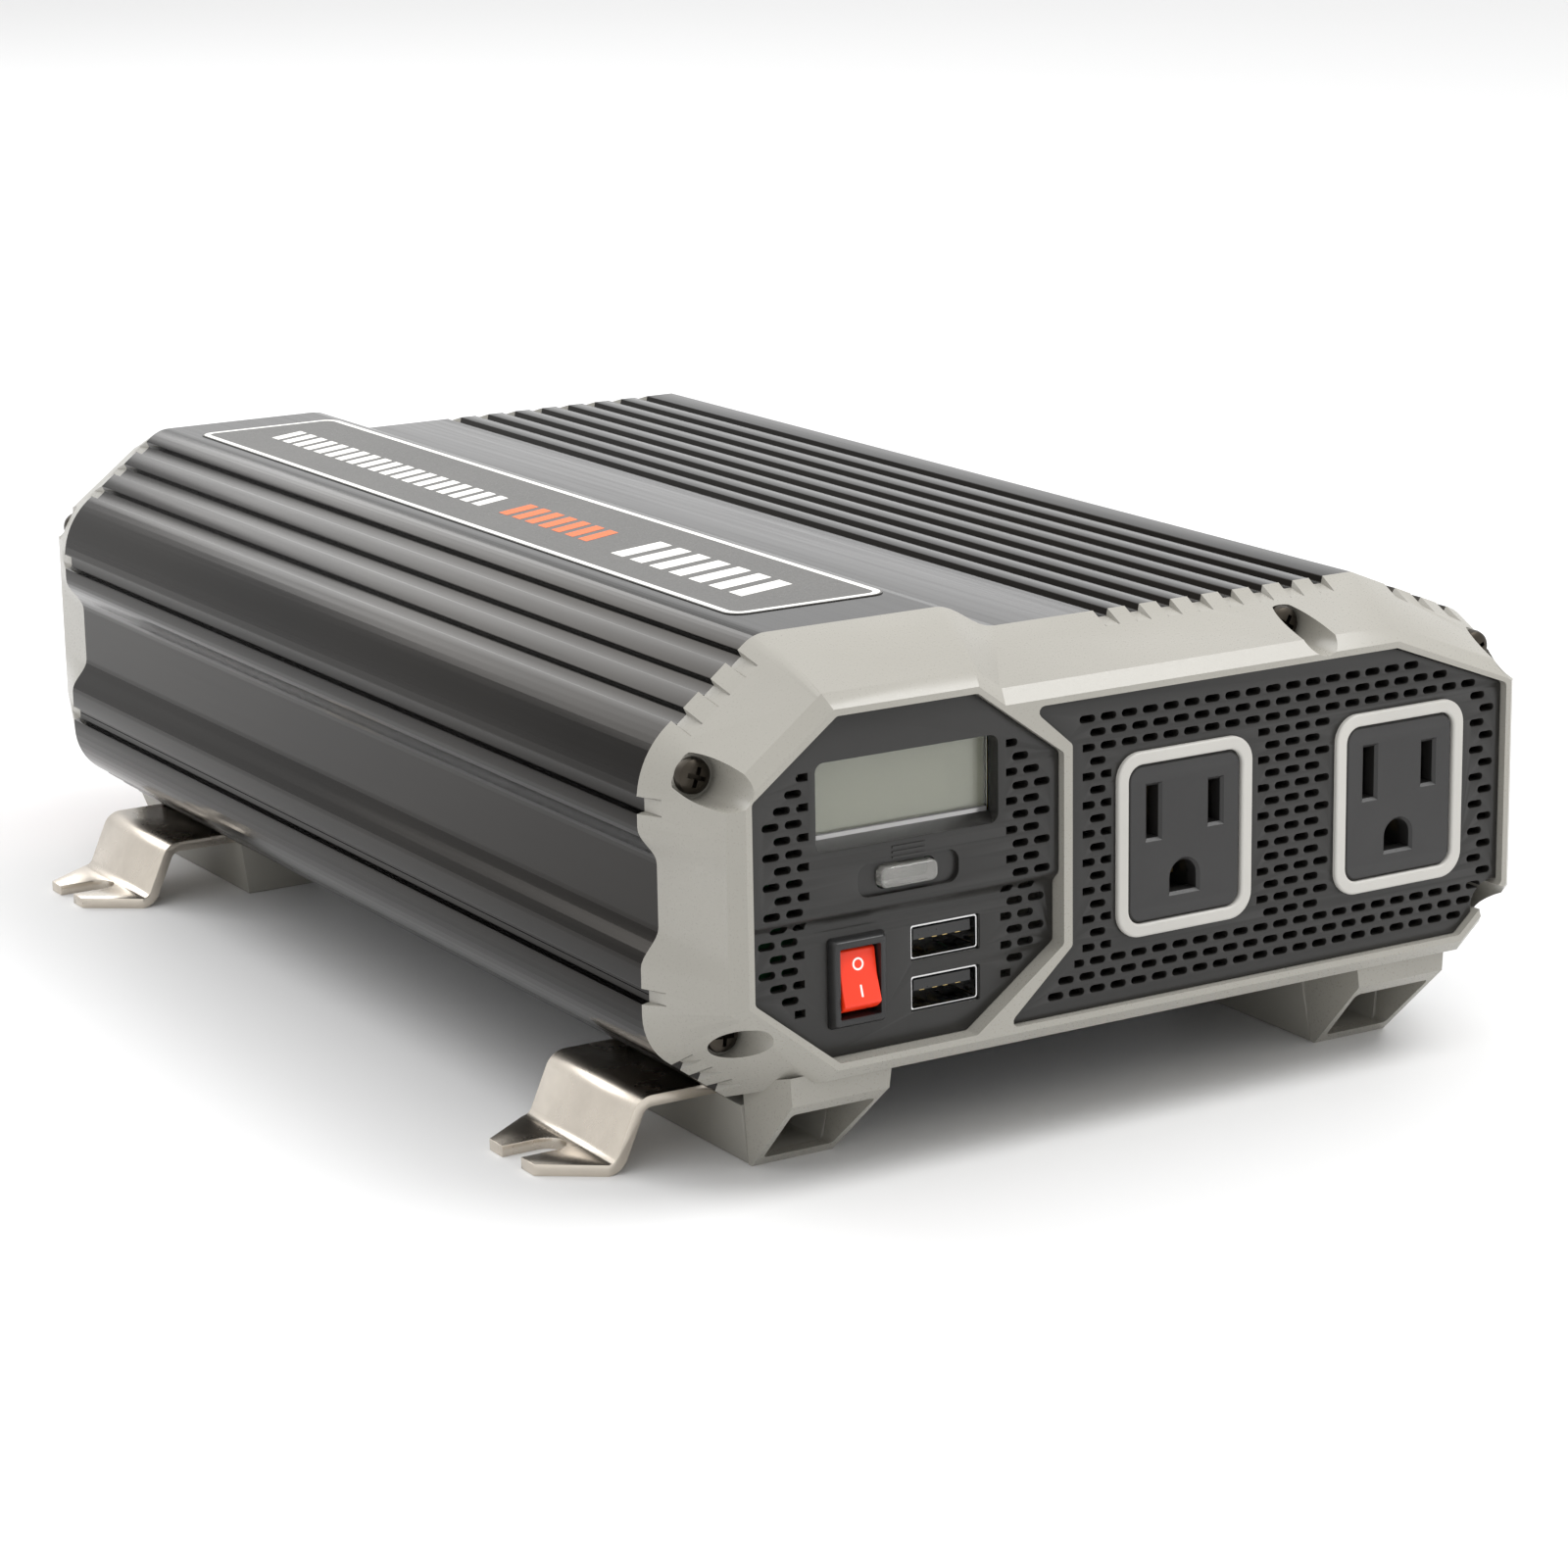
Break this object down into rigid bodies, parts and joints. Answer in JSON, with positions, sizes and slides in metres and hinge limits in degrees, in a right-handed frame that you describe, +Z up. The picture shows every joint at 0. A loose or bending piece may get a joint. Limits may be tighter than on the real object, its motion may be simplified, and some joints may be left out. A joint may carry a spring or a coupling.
{
  "type": "power inverter",
  "caption": "Power inverter in a ribbed aluminium case with end caps, grounded outlets, USB ports, display, rocker switch, battery posts, fans and mounting brackets.",
  "frame": {"origin": "on the floor under the middle of the case: halfway across its width and halfway along its length, at the level of its feet", "axes": "+Z up; -Y out of the face with the outlets, +Y out of the face with the battery posts; -X towards the side with the brackets"},
  "size_m": [0.1833, 0.2986, 0.0891],
  "materials": {
    "aluminium_bar": "mill finish",
    "anodised_case": "anodised dark bronze, satin, fine lengthwise grain",
    "black_plastic": "black, satin",
    "brass_parts": "bright",
    "cap_plastic": "warm light grey, fine texture",
    "capacitor_sleeve": "dark blue sleeve",
    "circuit_board": "green solder mask",
    "clear_button": "clear, gloss",
    "copper_parts": "copper, satin",
    "display_glass": "grey-beige, unlit display",
    "display_window": "clear, gloss",
    "ferrite": "grey, matte",
    "foot_plastic": "warm grey, fine texture",
    "frame_plastic": "light grey, satin",
    "fuse_plastic": "green, translucent",
    "insulator_film": "amber film",
    "label_film": "dark film with a printed outline",
    "outlet_plastic": "dark charcoal, smooth",
    "panel_plastic": "dark charcoal, satin",
    "plated_screws": "zinc plated",
    "plated_steel": "nickel plated, satin",
    "red_plastic": "bright red, semi gloss",
    "transistor_epoxy": "black epoxy",
    "usb_steel": "nickel plated, bright",
    "winding_tape": "yellow tape"
  },
  "bodies": {
    "case": {"upper_shell": "anodised_case", "lower_shell": "anodised_case", "front_cap": "cap_plastic", "rear_cap": "cap_plastic", "front_cap_screws": "plated_screws", "rear_cap_screws": "plated_screws", "control_panel": "panel_plastic", "outlet_panel": "panel_plastic", "outlet_frames": "frame_plastic", "outlet_faces": "outlet_plastic", "outlet_bodies": "outlet_plastic", "outlet_contacts": "brass_parts", "lcd_window": "display_window", "lcd_module": "display_glass", "control_board": "circuit_board", "menu_switch": "black_plastic", "rocker_housing": "black_plastic", "rocker_terminals": "brass_parts", "usb_shells": "usb_steel", "usb_tongues": "black_plastic", "usb_contacts": "brass_parts", "main_board": "circuit_board", "board_standoffs": "brass_parts", "board_screws": "plated_screws", "insulator_sheet": "insulator_film", "transformer_cores": "ferrite", "transformer_windings": "winding_tape", "bus_capacitors": "capacitor_sleeve", "input_capacitors": "capacitor_sleeve", "choke_core": "ferrite", "choke_winding": "copper_parts", "power_transistors": "transistor_epoxy", "transistor_clamps": "aluminium_bar", "clamp_screws": "plated_screws", "blade_fuses": "fuse_plastic", "bus_bars": "copper_parts", "top_label": "label_film", "mounting_brackets": "plated_steel", "foot_blocks": "foot_plastic", "foot_screws": "plated_screws", "rear_vent_panel": "panel_plastic", "terminal_panel": "panel_plastic", "battery_studs": "brass_parts", "positive_base": "red_plastic", "negative_base": "black_plastic", "ground_screw": "brass_parts", "fan_frames": "black_plastic", "fan_screws": "plated_screws"},
    "rocker": {"power_rocker": "red_plastic"},
    "button": {"menu_button": "clear_button"},
    "rotor_left": {"fan_rotor_left": "black_plastic"},
    "rotor_right": {"fan_rotor_right": "black_plastic"},
    "washer_positive": {"positive_washer": "brass_parts"},
    "washer_negative": {"negative_washer": "brass_parts"},
    "knob_positive": {"positive_knob": "red_plastic"},
    "knob_negative": {"negative_knob": "black_plastic"}
  },
  "joints": [
    {"name": "rocker_tilt", "type": "hinge", "parent": "case", "child": "rocker", "pos_m": [-0.0553, -0.133, 0.0342], "axis": [1, 0, 0], "range_deg": [0, 24]},
    {"name": "button_press", "type": "slide", "parent": "case", "child": "button", "axis": [0, 1, 0], "range_m": [0, 0.0008], "stiffness_N_per_m": 400},
    {"name": "rotor_left_spin", "type": "hinge", "parent": "case", "child": "rotor_left", "pos_m": [0.007, 0.1315, 0.0467], "axis": [0, 1, 0], "continuous": true},
    {"name": "rotor_right_spin", "type": "hinge", "parent": "case", "child": "rotor_right", "pos_m": [0.0495, 0.1315, 0.0467], "axis": [0, 1, 0], "continuous": true},
    {"name": "positive_washer_slide", "type": "slide", "parent": "case", "child": "washer_positive", "axis": [0, 1, 0], "range_m": [0, 0.00375]},
    {"name": "positive_knob_turn", "type": "hinge", "parent": "washer_positive", "child": "knob_positive", "pos_m": [-0.0591, 0.1437, 0.0527], "axis": [0, 1, 0], "range_deg": [0, 1081]},
    {"name": "negative_washer_slide", "type": "slide", "parent": "case", "child": "washer_negative", "axis": [0, 1, 0], "range_m": [0, 0.00375]},
    {"name": "negative_knob_turn", "type": "hinge", "parent": "washer_negative", "child": "knob_negative", "pos_m": [-0.0331, 0.1437, 0.0527], "axis": [0, 1, 0], "range_deg": [0, 1081]}
  ],
  "couplings": [
    {"joint": "positive_knob_turn", "follows": "positive_washer_slide", "rad_per_m": 5026.5},
    {"joint": "negative_knob_turn", "follows": "negative_washer_slide", "rad_per_m": 5026.5}
  ]
}
